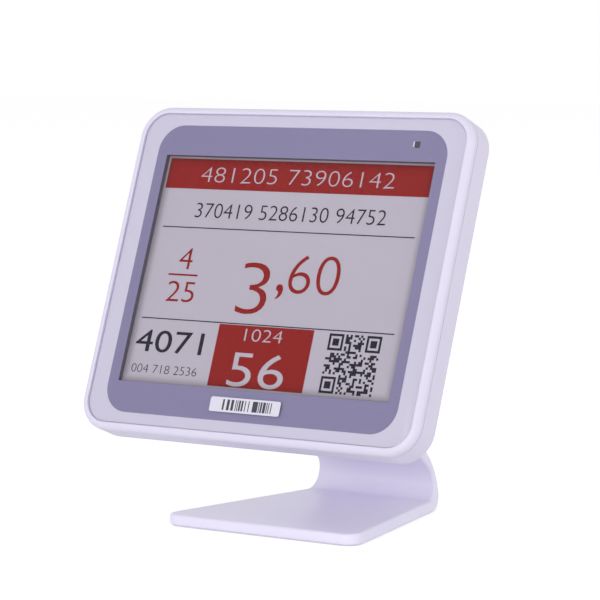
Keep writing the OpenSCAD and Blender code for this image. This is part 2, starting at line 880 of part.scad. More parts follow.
module battery_door() {
    rib_l = pitch;
    grip_y = platform_low + platform_wall + 2 * rib_r;
    color("#dcd6e8")
        on_label() {
            translate([-door_w / 2, platform_low, platform_z])
                cube([door_w, door_top - platform_low, door_t]);
            for (s = [-1, 1])
                block([s * door_w / 2, (tongue_low + tongue_top) / 2], [2 * tongue_out, tongue_l, tongue_t],
                    door_z - tongue_t);
            for (i = [0 : rib_count - 1])
                translate([-rib_l / 2, grip_y + 4 * i * rib_r, platform_z])
                    rotate([0, 90, 0])
                        cylinder(r = rib_r, h = rib_l);
        }
}

module barcode_sticker() {
    color("#f0edf6")
        on_label()
            translate([0, sticker_y, 0])
                plate(sticker_w, sticker_h, sticker_h / 6, 0, sticker_t);
}

// Half width of the sheet, by its share of the way round the two rear bends
function eased(t) = t * t * (3 - 2 * t);
// What a round end of radius r takes off, at a distance d from the tip
function tip_loss(d, r) = d >= r ? 0 : r - sqrt(r * r - (r - d) * (r - d));
// A ring is [y, z, heading, half width, distance from the nearer end]
tip_places = [for (i = [0 : end_steps]) corner_r * (1 - cos(90 * i / end_steps))];
heel_steps = ceil(90 / bend_step);
lean_steps = ceil((neck_angle - 90) / bend_step);
crook_steps = ceil((neck_angle - plate_heading) / bend_step);
foot_taper = (foot_front_w - foot_rear_w) / 2 / foot_l;
rings = concat(
    [for (d = tip_places) [d - foot_front, mid_z, 0, foot_front_w / 2 - foot_taper * d, d]],
    [[foot_back_y, mid_z, 0, foot_rear_w / 2, foot_l]],
    [for (i = [1 : heel_steps]) let (a = 90 * i / heel_steps, t = eased(i / (heel_steps + lean_steps)))
        [foot_back_y + heel_r * sin(a), mid_z + heel_r * (1 - cos(a)), a,
            foot_rear_w / 2 * (1 - t) + neck_w / 2 * t, foot_l]],
    [for (i = [1 : lean_steps]) let (a = 90 + (neck_angle - 90) * i / lean_steps,
            t = eased((heel_steps + i) / (heel_steps + lean_steps)))
        [heel[0] + lean_r * (sin(a) - 1), heel[1] - lean_r * cos(a), a,
            foot_rear_w / 2 * (1 - t) + neck_w / 2 * t, foot_l]],
    [for (i = [0 : crook_steps]) let (a = neck_angle + (plate_heading - neck_angle) * i / crook_steps)
        [crook[0] + crook_r * (sin(neck_angle) - sin(a)), crook[1] + crook_r * (cos(a) - cos(neck_angle)), a,
            neck_w / 2, plate_l]],
    [for (i = [end_steps : -1 : 0]) let (run = plate_l - tip_places[i])
        [plate_foot[0] + run * cos(plate_heading), plate_foot[1] + run * sin(plate_heading), plate_heading,
            neck_w / 2, tip_places[i]]]
);
// Outline of one ring, a rounded rectangle across the sheet
function ring_points(g) =
    let (w = g[3] - tip_loss(g[4], corner_r), h = sheet_t / 2 - tip_loss(g[4], edge_r),
        c = max(tip_least, edge_r - tip_loss(g[4], edge_r)), up = [-sin(g[2]), cos(g[2])])
    [for (q = quarters, i = [0 : corner_steps])
        let (a = q[2] + 90 * i / corner_steps,
            x = q[0] * (w - c) + c * cos(a), n = q[1] * (h - c) + c * sin(a))
        [x, g[0] + n * up[0], g[1] + n * up[1]]];
ring_n = 4 * (corner_steps + 1);

module stand_sheet() {
    last = len(rings) - 1;
    polyhedron(
        points = [for (g = rings) each ring_points(g)],
        faces = concat(
            [[for (i = [0 : ring_n - 1]) i]],
            [for (k = [0 : last - 1], i = [0 : ring_n - 1]) let (j = (i + 1) % ring_n)
                [k * ring_n + i, (k + 1) * ring_n + i, (k + 1) * ring_n + j]],
            [for (k = [0 : last - 1], i = [0 : ring_n - 1]) let (j = (i + 1) % ring_n)
                [k * ring_n + i, (k + 1) * ring_n + j, k * ring_n + j]],
            [[for (i = [ring_n - 1 : -1 : 0]) last * ring_n + i]]
        ));
}

module stand() {
    color("#dcd6e8")
        difference() {
            stand_sheet();
            plate(pad_w + 2 * seam_gap, pad_l + 2 * seam_gap, pad_r, pad_proud - over, pad_t);
        }
}

module grip_pad() {
    color("#3d3b42")
        plate(pad_w, pad_l, pad_r, 0, pad_t);
}

stand();
grip_pad();
rear_housing();
front_frame();
front_lens();
border_print();
mask_print();
lens_tape();
display_gasket();
display_film();
display_glass();
display_driver();
display_flex();
display_tray();
circuit_board();
radio_chip();
memory_chip();
power_parts();
flex_connector();
antenna();
status_light();
light_guide();
board_screws();
coin_cells();
positive_contacts();
negative_contacts();
battery_door();
barcode_sticker();
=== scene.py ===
import math
import random
import bmesh
import bpy
from mathutils import Matrix, Vector


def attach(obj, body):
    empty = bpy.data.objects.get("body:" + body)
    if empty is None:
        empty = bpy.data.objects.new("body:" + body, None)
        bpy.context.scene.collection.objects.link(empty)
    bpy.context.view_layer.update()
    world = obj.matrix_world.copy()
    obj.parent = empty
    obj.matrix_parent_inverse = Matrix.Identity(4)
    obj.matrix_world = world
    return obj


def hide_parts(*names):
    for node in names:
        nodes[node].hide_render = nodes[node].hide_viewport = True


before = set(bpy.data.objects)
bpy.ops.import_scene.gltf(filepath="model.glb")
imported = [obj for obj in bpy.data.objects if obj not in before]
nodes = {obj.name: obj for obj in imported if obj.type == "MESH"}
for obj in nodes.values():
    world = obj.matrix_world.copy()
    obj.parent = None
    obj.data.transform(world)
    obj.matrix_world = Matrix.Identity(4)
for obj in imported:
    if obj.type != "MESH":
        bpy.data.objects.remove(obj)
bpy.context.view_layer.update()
mm = 0.001
print("frame loaded:", len(nodes), "nodes")


# The label leans back on its stand. Its pieces are made lying flat, X across, Y up the panel and Z out of the
# front, with zero on the front of the lens, and are then set in their place.
labelPose = {"front": 21.4, "height": 69.85, "tilt": 21}
labelPlace = (Matrix.Translation((0, -labelPose["front"] * mm, labelPose["height"] * mm))
              @ Matrix.Rotation(math.radians(90 - labelPose["tilt"]), 4, "X"))


def labelBox(name):  # low and high corner of a CAD node in the label's own frame, in mm
    back = labelPlace.inverted()
    points = [back @ v.co / mm for v in nodes[name].data.vertices]
    low = Vector([min(p[i] for p in points) for i in range(3)])
    high = Vector([max(p[i] for p in points) for i in range(3)])
    return low, high


# Materials

def colour(hexCode):  # sRGB hex to linear
    parts = [int(hexCode[i:i + 2], 16) / 255 for i in (1, 3, 5)]
    return [c / 12.92 if c <= 0.04045 else ((c + 0.055) / 1.055) ** 2.4 for c in parts] + [1.0]


def addNode(tree, kind, inputs=None, **settings):  # inputs are constants, or sockets to link from
    made = tree.nodes.new(kind)
    for name, value in settings.items():
        setattr(made, name, value)
    for key, value in (inputs or {}).items():
        socket = made.inputs[key]
        if isinstance(value, bpy.types.NodeSocket):
            tree.links.new(value, socket)
        else:
            socket.default_value = value
    return made


def newMaterial(name):
    material = bpy.data.materials.new(name)
    material.use_nodes = True
    material.node_tree.nodes.clear()
    return material, material.node_tree


def output(tree, shader):
    addNode(tree, "ShaderNodeOutputMaterial", {"Surface": shader})


def drifting(tree, place, spread, base, shade):  # two close shades, in patches with a spread in mm
    drift = addNode(tree, "ShaderNodeTexNoise", {"Vector": place, "Scale": 1 / (spread * mm), "Detail": 3.0})
    tone = addNode(tree, "ShaderNodeMix", {"Factor": drift.outputs["Fac"], 6: colour(base), 7: colour(shade)},
                   data_type="RGBA")
    return drift.outputs["Fac"], tone.outputs[2]


moulded = {"drift": 30, "sheen": 0.05, "low": 0.3, "high": 0.7, "relief": 0.35, "ior": 1.53}


def mouldedPlastic(name, base, shade, roughness, grain, depth):  # grain and its depth in mm
    material, tree = newMaterial(name)
    place = addNode(tree, "ShaderNodeTexCoord").outputs["Object"]
    tone = drifting(tree, place, moulded["drift"], base, shade)[1]
    fine = addNode(tree, "ShaderNodeTexNoise", {"Vector": place, "Scale": 1 / (grain * mm), "Detail": 2.0})
    satin = addNode(tree, "ShaderNodeMapRange", {
        "Value": fine.outputs["Fac"], "From Min": moulded["low"], "From Max": moulded["high"],
        "To Min": roughness - moulded["sheen"], "To Max": roughness + moulded["sheen"]})
    bump = addNode(tree, "ShaderNodeBump", {"Height": fine.outputs["Fac"], "Strength": moulded["relief"],
                                            "Distance": depth * mm})
    shader = addNode(tree, "ShaderNodeBsdfPrincipled", {
        "Base Color": tone, "Roughness": satin.outputs["Result"], "IOR": moulded["ior"],
        "Normal": bump.outputs["Normal"]})
    output(tree, shader.outputs["BSDF"])
    return material


coatedLens = {"smear": 18, "smooth": 0.08, "dull": 0.16, "ior": 1.49, "clear": "#fefeff",
              "gloss": "#9a9aa0"}


def lensAcrylic(name):  # clear straight through, with the gloss on its outer faces only
    material, tree = newMaterial(name)
    place = addNode(tree, "ShaderNodeTexCoord").outputs["Object"]
    smear = addNode(tree, "ShaderNodeTexNoise", {"Vector": place, "Scale": 1 / (coatedLens["smear"] * mm),
                                                 "Detail": 4.0})
    rough = addNode(tree, "ShaderNodeMapRange", {
        "Value": smear.outputs["Fac"], "To Min": coatedLens["smooth"], "To Max": coatedLens["dull"]})
    facing = addNode(tree, "ShaderNodeFresnel", {"IOR": coatedLens["ior"]})
    side = addNode(tree, "ShaderNodeNewGeometry")
    outer = addNode(tree, "ShaderNodeMath", {0: 1.0, 1: side.outputs["Backfacing"]}, operation="SUBTRACT")
    shine = addNode(tree, "ShaderNodeMath", {0: facing.outputs["Fac"], 1: outer.outputs[0]},
                    operation="MULTIPLY")
    clear = addNode(tree, "ShaderNodeBsdfTransparent", {"Color": colour(coatedLens["clear"])})
    gloss = addNode(tree, "ShaderNodeBsdfAnisotropic", {"Color": colour(coatedLens["gloss"]),
                                                        "Roughness": rough.outputs["Result"]})
    mixed = addNode(tree, "ShaderNodeMixShader", {0: shine.outputs[0], 1: clear.outputs["BSDF"],
                                                  2: gloss.outputs["BSDF"]})
    output(tree, mixed.outputs["Shader"])
    return material


def paintWallShade(tree, place, tone, paintedShade):  # painted shade: the colour is darkened towards the walls of the display's window, where their shade falls
    spot = addNode(tree, "ShaderNodeMapping", {"Vector": place, "Location": labelPlace.translation,
                                               "Rotation": labelPlace.to_euler()}, vector_type="TEXTURE")
    parts = addNode(tree, "ShaderNodeSeparateXYZ", {0: spot.outputs["Vector"]}).outputs
    gaps = []
    for axis, half in zip("XY", paintedShade["window"]):
        far = addNode(tree, "ShaderNodeMath", {0: parts[axis]}, operation="ABSOLUTE").outputs[0]
        gap = addNode(tree, "ShaderNodeMath", {0: half * mm, 1: far}, operation="SUBTRACT")
        gaps.append(gap.outputs[0])
    near = addNode(tree, "ShaderNodeMath", {0: gaps[0], 1: gaps[1]}, operation="MINIMUM")
    dim = addNode(tree, "ShaderNodeMapRange", {"Value": near.outputs[0], "From Max": paintedShade["reach"] * mm,
                                               "To Min": paintedShade["wall"]}, interpolation_type="SMOOTHSTEP")
    shadedTone = addNode(tree, "ShaderNodeMix", {"Factor": 1.0, 6: tone, 7: dim.outputs["Result"]},
                    data_type="RGBA", blend_type="MULTIPLY")
    return shadedTone.outputs[2]


reliefStrength = 0.4


def plainFinish(name, base, shade, roughness, spread, ior=1.5, metallic=0.0, relief=None, gloss=None,
                paintedShade=None):
    material, tree = newMaterial(name)
    place = addNode(tree, "ShaderNodeTexCoord").outputs["Object"]
    drift, tone = drifting(tree, place, spread, base, shade)
    # painted shade near the window's walls, multiplied into the colour
    if paintedShade:
        tone = paintWallShade(tree, place, tone, paintedShade)
    inputs = {"Base Color": tone, "Roughness": roughness, "IOR": ior, "Metallic": metallic}
    if gloss is not None:  # for what lies laminated under a film, which takes its gloss away
        inputs["Specular IOR Level"] = gloss
    if relief:  # depth in mm
        bump = addNode(tree, "ShaderNodeBump", {"Height": drift, "Strength": reliefStrength,
                                                "Distance": relief * mm})
        inputs["Normal"] = bump.outputs["Normal"]
    shader = addNode(tree, "ShaderNodeBsdfPrincipled", inputs)
    output(tree, shader.outputs["BSDF"])
    return material


# ABS from a finely spark-eroded tool: pale lilac, satin, with a soft wide highlight along its rounded edges.
# Its colour is painted lighter than the case's same ABS, as painted light for the neck that sits in the
# label's shade
standPlastic = mouldedPlastic("moulded_abs_satin", "#e6e2f4", "#e1dcf0", 0.36, 0.35, 0.012)
# The same ABS from a coarser tool: duller, so the light spreads evenly over the flat sides
casePlastic = mouldedPlastic("moulded_abs_matt", "#dad5e8", "#d6d1e5", 0.45, 0.35, 0.02)
# Acrylic with an anti-glare coat: nearly unseen, with a faint blurred reflection
lensClear = lensAcrylic("acrylic_lens")
# Screen inks on the back of the lens: flat and even, since the gloss over them is the lens's own
borderInk = plainFinish("screen_ink_pale", "#cfcadb", "#ccc7d8", 0.5, 20)
maskInk = plainFinish("screen_ink_lilac", "#827c9e", "#7e789a", 0.5, 25)
# Electronic paper: dry and faintly speckled, with painted shade along the walls of its window
wallShade = {"window": (43.0, 32.4), "reach": 2.8, "wall": 0.62}
paperFilm = plainFinish("electronic_paper", "#bdb6c1", "#b5aeb9", 0.75, 0.35, gloss=0.15, paintedShade=wallShade)
# The red header carries the same painted shade along the window's walls.
inkRed = plainFinish("electronic_ink_red", "#901c16", "#881814", 0.75, 0.35, gloss=0.1, paintedShade=wallShade)
inkBlack = plainFinish("electronic_ink_black", "#1a1725", "#211e2b", 0.75, 0.35, gloss=0.15)
# Foam strip: dull and dark with open pores, seen only as a thin wall round the window
gasketFoam = plainFinish("foam_gasket", "#6a6571", "#5b5660", 0.95, 0.6, relief=0.05)
# Coated paper: a clean off-white with a slight sheen, and its thermal print a warm black
stickerPaper = plainFinish("coated_label_paper", "#d8d5e2", "#d2cfdd", 0.6, 1.5)
stickerInk = plainFinish("thermal_print_black", "#33313c", "#3d3b46", 0.7, 0.6)
# Foamed rubber: dull, with small pits
rubber = plainFinish("foamed_rubber_pad", "#3d3b42", "#333138", 0.85, 0.8, relief=0.08)
# Smoked acrylic: dark and shiny, like a small black window
smoke = plainFinish("smoked_acrylic", "#44424d", "#3b3944", 0.25, 2, ior=1.49)
# Chip cases: a sooty grey with a sandy surface
epoxy = plainFinish("moulded_epoxy", "#26262b", "#2d2d32", 0.55, 0.4, relief=0.01)
# Solder mask: a wet-looking green lacquer
board = plainFinish("solder_mask_laminate", "#2f6b4f", "#295f45", 0.35, 2)
# Metals: bright rolled cell cans, warmer nickelled springs, yellow brass and blue-grey zinc
steel = plainFinish("rolled_stainless_steel", "#c8c8cc", "#b9b9bf", 0.28, 1.5, metallic=1.0)
spring = plainFinish("nickelled_spring_steel", "#b9b6a8", "#aeab9d", 0.3, 1.5, metallic=1.0)
brass = plainFinish("stamped_brass", "#c9b27a", "#bfa76d", 0.32, 1.5, metallic=1.0)
zinc = plainFinish("zinc_plated_steel", "#a6a6ad", "#9a9aa1", 0.35, 0.8, metallic=1.0)
# Flex: a smooth amber film
amber = plainFinish("polyimide_film", "#c47a2c", "#b66d25", 0.3, 2)
# Tray and socket: a plain grey moulding with a slight sheen
trayPlastic = plainFinish("moulded_polystyrene", "#c9c9cf", "#c3c3ca", 0.5, 8)
# Coil core: a dull brown-grey ceramic
ferrite = plainFinish("sintered_ferrite", "#4a4642", "#3f3b38", 0.6, 0.5, relief=0.02)
# Display glass: smooth and greenish, as thin glass looks over a dark layer
glassSheet = plainFinish("thin_display_glass", "#7f9b96", "#78948f", 0.08, 6)
# Foam tape: a soft chalky grey
tapeFoam = plainFinish("acrylic_foam_tape", "#b9b9bd", "#b0b0b5", 0.8, 0.8)

finishes = {
    "stand": standPlastic, "rear_housing": casePlastic, "front_frame": casePlastic,
    "battery_door": casePlastic, "grip_pad": rubber, "front_lens": lensClear, "border_print": borderInk,
    "mask_print": maskInk, "lens_tape": tapeFoam, "display_gasket": gasketFoam, "display_film": paperFilm,
    "display_glass": glassSheet, "display_driver": epoxy, "display_flex": amber,
    "display_tray": trayPlastic, "circuit_board": board, "radio_chip": epoxy, "memory_chip": epoxy,
    "power_parts": ferrite, "flex_connector": trayPlastic, "antenna": brass, "status_light": trayPlastic,
    "light_guide": smoke, "board_screws": zinc, "coin_cells": steel, "positive_contacts": spring,
    "negative_contacts": spring, "barcode_sticker": stickerPaper,
}
for name, finish in finishes.items():
    nodes[name].data.materials.clear()
    nodes[name].data.materials.append(finish)
print("materials set:", len(finishes))


# Modelling helpers

same = {"place": 1e-6, "height": 1e-3}  # how near two places in m, or two heights in mm, count as the same


def freshStart():
    if bpy.context.object and bpy.context.object.mode != "OBJECT":
        bpy.ops.object.mode_set(mode="OBJECT")
    bpy.ops.object.select_all(action="DESELECT")


def startBlock(name, low, high):  # a cube between two corners, in mm
    freshStart()
    bpy.ops.mesh.primitive_cube_add(size=1, location=[(a + b) / 2 * mm for a, b in zip(low, high)])
    piece = bpy.context.object
    piece.name = name
    piece.scale = [(b - a) * mm for a, b in zip(low, high)]
    bpy.ops.object.transform_apply(location=True, rotation=True, scale=True)
    return piece


def middle(part):  # middle of an edge or face, in mm
    return sum((v.co for v in part.verts), Vector()) / len(part.verts) / mm


def pick(kind, test):  # in edit mode, selects the edges or faces that pass the test
    bpy.ops.mesh.select_mode(type=kind)
    bpy.ops.mesh.select_all(action="DESELECT")
    mesh = bmesh.from_edit_mesh(bpy.context.edit_object.data)
    for part in mesh.edges if kind == "EDGE" else mesh.faces:
        if test(part):
            part.select_set(True)
    mesh.select_flush_mode()
    bmesh.update_edit_mesh(bpy.context.edit_object.data)


def alongZ(edge):
    a, b = edge.verts
    return all(abs(a.co[i] - b.co[i]) < same["place"] for i in (0, 1))


def roundOff(radius, steps):  # bevels the selected edges
    bpy.ops.mesh.bevel(offset=radius * mm, offset_type="OFFSET", segments=steps, profile=0.5, affect="EDGES")


def roundCorners(piece, radius, steps):  # the upright edges of a block
    bpy.context.view_layer.objects.active = piece
    bpy.ops.object.mode_set(mode="EDIT")
    pick("EDGE", alongZ)
    roundOff(radius, steps)
    bpy.ops.object.mode_set(mode="OBJECT")


def softenFront(height, radius, steps):  # the edge loop at one height
    bpy.ops.object.mode_set(mode="EDIT")
    pick("EDGE", lambda e: all(abs(v.co.z / mm - height) < same["height"] for v in e.verts))
    roundOff(radius, steps)
    bpy.ops.object.mode_set(mode="OBJECT")


def fixNormals():
    bpy.ops.mesh.select_all(action="SELECT")
    bpy.ops.mesh.normals_make_consistent(inside=False)
    bpy.ops.object.mode_set(mode="OBJECT")


def raiseCells(keep, height):  # keeps some faces of a flat grid and draws them out
    bpy.ops.object.mode_set(mode="EDIT")
    pick("FACE", lambda f: not keep(f))
    bpy.ops.mesh.delete(type="FACE")
    bpy.ops.mesh.select_all(action="SELECT")
    bpy.ops.mesh.extrude_region_move(TRANSFORM_OT_translate={"value": (0, 0, height * mm)})
    fixNormals()


def cutAway(piece, cutter):
    freshStart()
    bpy.context.view_layer.objects.active = piece
    piece.select_set(True)
    cut = piece.modifiers.new("cut", "BOOLEAN")
    cut.operation = "DIFFERENCE"
    cut.solver = "EXACT"
    cut.object = cutter
    bpy.ops.object.modifier_apply(modifier="cut")
    bpy.data.objects.remove(cutter, do_unlink=True)


def joinAll(name, pieces):
    freshStart()
    for piece in pieces:
        piece.select_set(True)
    bpy.context.view_layer.objects.active = pieces[0]
    bpy.ops.object.join()
    pieces[0].name = name
    return pieces[0]


def settle(piece, body, finish, replaced=None, onLabel=True, smooth=30):
    freshStart()
    piece.select_set(True)
    bpy.context.view_layer.objects.active = piece
    if onLabel:
        piece.matrix_world = labelPlace @ piece.matrix_world
        bpy.ops.object.transform_apply(location=True, rotation=True, scale=True)
    bpy.ops.object.shade_smooth_by_angle(angle=math.radians(smooth))
    piece.data.materials.clear()
    piece.data.materials.append(finish)
    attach(piece, body)
    if replaced:
        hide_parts(replaced)


# Stand: one moulded sheet. The foot's slab is drawn out ring by ring round the heel, up the neck, round the
# crook and up behind the label, and its edges are rounded at the end. Sizes in mm, angles in degrees.

stand = {"frontHalf": 31.2, "frontY": -29.0, "low": 0.2, "thick": 3.2, "corner": 5.0, "taper": 0.188,
         "blend": 14.0, "neckHalf": 18.7, "heelY": 29.3, "heelOut": 4.6, "leanOut": 17.0, "innerY": -2.6,
         "heelIn": 4.6, "neckAngle": 139.5, "crook": 12.0, "plateDepth": -13.6, "plateTop": 21.4, "edge": 0.9,
         "steps": 12, "cornerSteps": 10, "edgeSteps": 5, "sharp": 40, "smooth": 35}
pad = {"width": 38.3, "length": 50.3, "corner": 4.0, "steps": 8, "low": -1, "high": 0.8}
found = {"back": 0.9, "side": 10, "front": 1, "top": 0.3}  # how the face and edges to work on are told apart


def heading(degrees):
    return Vector((math.cos(math.radians(degrees)), math.sin(math.radians(degrees))))


def twoArcs(start, first, second, lean, steps):  # from lying flat to upright, and on to the lean
    turns = [90 * i / steps for i in range(steps + 1)]
    places = [start + first * (Vector((0, 1)) + heading(a - 90)) for a in turns]
    hub = places[-1] - Vector((second, 0))
    leans = [90 + (lean - 90) * i / steps for i in range(1, steps + 1)]
    return places + [hub + second * heading(a - 90) for a in leans]


def sheetRings(s):  # pairs of places in the YZ plane: on the outer and on the inner face
    thick = s["thick"]
    up = heading(s["neckAngle"] + 90)
    outer = twoArcs(Vector((s["heelY"], s["low"])), s["heelOut"], s["leanOut"], s["neckAngle"], s["steps"])
    hub = Vector((s["heelY"] + s["innerY"] + s["heelIn"], s["low"] + thick + s["heelIn"]))
    swing = heading(s["neckAngle"] - 90) - Vector((1, 0))
    leanIn = (thick - (hub - outer[-1]).dot(up)) / swing.dot(up)
    inner = twoArcs(Vector((s["heelY"] + s["innerY"], s["low"] + thick)), s["heelIn"], leanIn, s["neckAngle"],
                    s["steps"])
    rings = list(zip(outer, inner))
    # the crook starts where it ends on the plate's own plane behind the label
    tilt, front, height = labelPose["tilt"], labelPose["front"], labelPose["height"]
    sideways = heading(s["neckAngle"] - 90)
    shift = s["crook"] * (sideways - heading(-tilt))
    normal, along = -heading(-tilt), heading(90 - tilt)
    here = outer[-1] + up * thick / 2 + shift - Vector((-front, height))
    run = (s["plateDepth"] - here.dot(normal)) / heading(s["neckAngle"]).dot(normal)
    crook = outer[-1] + up * thick / 2 + heading(s["neckAngle"]) * run
    for i in range(s["steps"] + 1):
        a = s["neckAngle"] + (90 - tilt - s["neckAngle"]) * i / s["steps"]
        place = crook + s["crook"] * (sideways - heading(a - 90))
        half = heading(a + 90) * thick / 2
        rings.append((place - half, place + half))
    rest = s["plateTop"] - (place - Vector((-front, height))).dot(along)
    rings.append(tuple(end + along * rest for end in rings[-1]))
    return rings


def halfWidth(s, gone):  # the foot's taper runs on until it meets the neck in a long curve
    start = (s["frontHalf"] - s["neckHalf"] - s["taper"] * s["blend"] / 2) / s["taper"]
    if gone < start:
        return s["frontHalf"] - s["taper"] * gone
    part = min(gone - start, s["blend"])
    return s["neckHalf"] + s["taper"] * (s["blend"] - part) ** 2 / (2 * s["blend"])


rings = sheetRings(stand)
piece = startBlock("stand_sheet", (-stand["frontHalf"], stand["frontY"], stand["low"]),
                   (stand["frontHalf"], stand["heelY"] + stand["innerY"], stand["low"] + stand["thick"]))
bpy.ops.object.mode_set(mode="EDIT")
pick("FACE", lambda f: f.normal.y > found["back"])
gone, last, before = -stand["frontY"], Vector((0, 0)), None
for out, inside in rings:
    if before:
        bpy.ops.mesh.extrude_region_move(TRANSFORM_OT_translate={"value": (0, 0, 0)})
        gone += ((out + inside) / 2 - last).length
    else:  # the slab's own end
        gone += inside.x
        before = (out, inside)
    last = (out + inside) / 2
    half = halfWidth(stand, gone)
    mesh = bmesh.from_edit_mesh(piece.data)
    for v in [v for v in mesh.verts if v.select]:
        here = Vector(v.co.yz) / mm
        place = inside if (here - before[1]).length < (here - before[0]).length else out
        v.co = Vector((math.copysign(half, v.co.x), place.x, place.y)) * mm
    before = (out, inside)
    bmesh.update_edit_mesh(piece.data)
pick("EDGE", lambda e: abs(middle(e).x) > found["side"] and alongZ(e)
     and middle(e).y < stand["frontY"] + found["front"])
roundOff(stand["corner"], stand["cornerSteps"])
pick("EDGE", lambda e: abs(middle(e).x) > found["side"]
     and (Vector(middle(e).yz) - last).length < found["top"])
roundOff(stand["corner"], stand["cornerSteps"])
fixNormals()
rounding = piece.modifiers.new("rounding", "BEVEL")
rounding.width = stand["edge"] * mm
rounding.segments = stand["edgeSteps"]
rounding.limit_method = "ANGLE"
rounding.angle_limit = math.radians(stand["sharp"])
bpy.ops.object.modifier_apply(modifier="rounding")
recess = startBlock("pad_space", (-pad["width"] / 2, -pad["length"] / 2, pad["low"]),
                    (pad["width"] / 2, pad["length"] / 2, pad["high"]))
roundCorners(recess, pad["corner"], pad["steps"])
cutAway(piece, recess)
settle(piece, "stand", standPlastic, "stand", onLabel=False, smooth=stand["smooth"])
print("stand made")


# Lens, with its edge polished to a small chamfer

lens = {"radius": 6.55, "steps": 12, "back": -0.46, "edge": 0.12, "edgeSteps": 2}
low, high = labelBox("front_lens")
piece = startBlock("lens_sheet", (low.x, low.y, lens["back"]), (high.x, high.y, high.z))
roundCorners(piece, lens["radius"], lens["steps"])
softenFront(high.z, lens["edge"], lens["edgeSteps"])
settle(piece, "label", lensClear, "front_lens")
print("lens made")


# What the display shows: thin layers of ink that stand just proud of the film. All sizes are in mm from the
# middle of the display.

film = {"front": -2.0, "rise": 0.03, "sink": 0.05}


def inkBlock(low, high):
    return startBlock("ink_block", (*low, film["front"] - film["sink"]),
                      (*high, film["front"] + film["rise"]))


def inkFigures(figures, low, high, weight):  # figures stretched to fill a box, thinned by a weight below 0
    freshStart()
    bpy.ops.object.text_add(location=(0, 0, 0))
    piece = bpy.context.object
    piece.data.body = figures
    piece.data.size = 1
    piece.data.offset = weight
    piece.data.resolution_u = 5
    piece.data.extrude = 0.1
    bpy.ops.object.convert(target="MESH")
    spots = [v.co for v in piece.data.vertices]
    near = Vector([min(s[i] for s in spots) for i in range(3)])
    far = Vector([max(s[i] for s in spots) for i in range(3)])
    start = (*low, film["front"] - film["sink"])
    size = (high[0] - low[0], high[1] - low[1], film["sink"] + film["rise"])
    piece.scale = [size[i] * mm / (far[i] - near[i]) for i in range(3)]
    piece.location = [start[i] * mm - near[i] * piece.scale[i] for i in range(3)]
    bpy.ops.object.transform_apply(location=True, rotation=True, scale=True)
    return piece


picture = {  # blocks by their corners, and figures with their corners and weight
    "redBlocks": [((-42.3, 23.25), (43.1, 31.9)), ((-14.75, -31.5), (15.5, -14.35)),
                  ((-35.0, -1.6), (-25.3, -1.1))],
    "red": [("4", (-32.4, 0.3), (-28.0, 6.3), -0.01), ("25", (-34.3, -9.0), (-25.2, -3.2), -0.01),
            ("3", (-11.0, -11.2), (-1.6, 3.2), -0.015), (",", (0.8, -6.6), (3.1, -2.4), 0.0),
            ("60", (4.2, -4.8), (20.0, 6.0), -0.015)],
    "rules": [((-40.3, 12.0), (40.3, 12.3)), ((-40.8, -14.15), (39.9, -13.85))],
    "black": [("370419 5286130 94752", (-30.5, 15.1), (30.5, 19.3), -0.012),
              ("4071", (-41.0, -23.5), (-18.8, -17.3), 0.0),
              ("004 718 2536", (-40.6, -29.4), (-19.0, -27.0), -0.018)],
    "paper": [("481205 73906142", (-31.0, 25.2), (31.0, 29.6), -0.022),
              ("1024", (-6.0, -18.6), (6.0, -15.2), -0.015),
              ("56", (-8.8, -31.2), (8.8, -21.8), -0.005)],
}
redPieces = [inkBlock(*corners) for corners in picture["redBlocks"]]
redPieces += [inkFigures(*entry) for entry in picture["red"]]
settle(joinAll("ink_red", redPieces), "label", inkRed)
blackPieces = [inkBlock(*corners) for corners in picture["rules"]]
blackPieces += [inkFigures(*entry) for entry in picture["black"]]

# A square of chance cells, with a ringed square in three of its corners
matrix = {"cells": 25, "middle": (28.5, -22.9), "side": 16.1, "finder": 7, "eye": 3, "dark": (0, 1, 3),
          "share": 0.5, "seed": 11}


def matrixCell(column, row):
    last = matrix["cells"] - 1
    for right, top in ((False, True), (True, True), (False, False)):
        x = last - column if right else column
        y = last - row if top else row
        if x <= matrix["finder"] and y <= matrix["finder"]:
            return max(abs(x - matrix["eye"]), abs(y - matrix["eye"])) in matrix["dark"]
    return chance.random() < matrix["share"]


chance = random.Random(matrix["seed"])
freshStart()
bpy.ops.mesh.primitive_grid_add(
    x_subdivisions=matrix["cells"], y_subdivisions=matrix["cells"], size=matrix["side"] * mm,
    location=[a * mm for a in (*matrix["middle"], film["front"] - film["sink"])])
grid = bpy.context.object
bpy.ops.object.transform_apply(location=True, rotation=True, scale=True)
filled = {(c, r): matrixCell(c, r) for c in range(matrix["cells"]) for r in range(matrix["cells"])}
step = matrix["side"] / matrix["cells"]
corner = [a - matrix["side"] / 2 for a in matrix["middle"]]
raiseCells(lambda f: filled[tuple(int((middle(f)[i] - corner[i]) / step) for i in (0, 1))],
           film["sink"] + film["rise"])
blackPieces.append(grid)
settle(joinAll("ink_black", blackPieces), "label", inkBlack)
film["front"] += film["rise"]  # the pale figures lie on the red
paperPieces = [inkFigures(*entry) for entry in picture["paper"]]
settle(joinAll("ink_clear", paperPieces), "label", paperFilm)
print("display picture made")


# Status window printed at the top right: a smoked square, with a pale strip beside it that is a painted
# highlight on the window's edge

status = {"low": (35.7, 36.5), "high": (37.4, 38.0), "strip": (35.25, 35.62), "front": -0.475, "back": -0.52}
low, high = status["low"], status["high"]
piece = startBlock("status_window", (*low, status["back"]), (*high, status["front"]))
settle(piece, "label", smoke)
# painted highlight: pale paper standing in for a glint beside the window
piece = startBlock("status_strip", (status["strip"][0], low[1], status["back"]),
                   (status["strip"][1], high[1], status["front"]))
settle(piece, "label", stickerPaper)
print("status window made")


# Sticker under the display, with its bars printed on it

